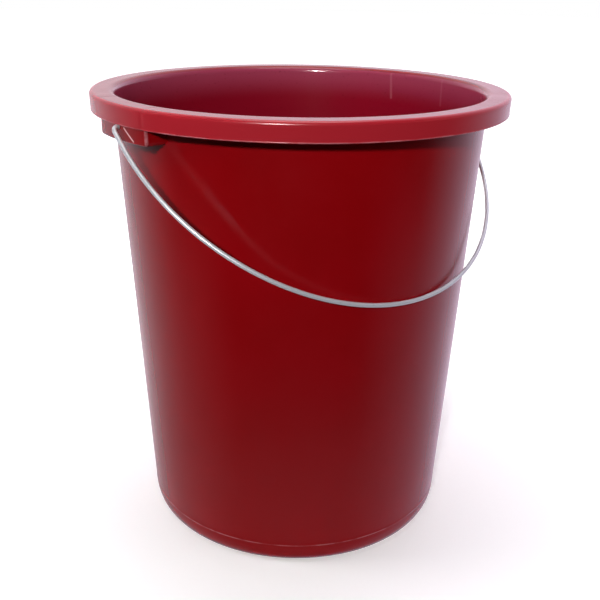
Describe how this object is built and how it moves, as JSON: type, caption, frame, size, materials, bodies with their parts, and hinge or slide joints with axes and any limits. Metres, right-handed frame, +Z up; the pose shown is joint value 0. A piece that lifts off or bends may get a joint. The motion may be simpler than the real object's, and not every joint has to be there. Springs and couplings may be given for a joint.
{
  "type": "wash bucket",
  "caption": "Round tapered plastic wash bucket with a flat turned-down rim, side ears and a swinging steel wire bail that rests against the wall.",
  "frame": {"origin": "centre of the foot ring, on the ground", "axes": "+Z up; X along the bail's pivot axis through the two ears; the bail rests against the -Y side"},
  "size_m": [0.307, 0.3, 0.33],
  "materials": {
    "red_plastic": "glossy moulded polypropylene, deep red, with light scuffs",
    "steel_wire": "bright zinc-plated drawn steel wire"
  },
  "bodies": {
    "bucket": {"bucket_body": "red_plastic"},
    "bail": {"wire_bail": "steel_wire"}
  },
  "joints": [
    {"name": "bail_swing", "type": "hinge", "parent": "bucket", "child": "bail", "pos_m": [0, 0, 0.3156], "axis": [-1, 0, 0], "range_deg": [0, 261]}
  ]
}
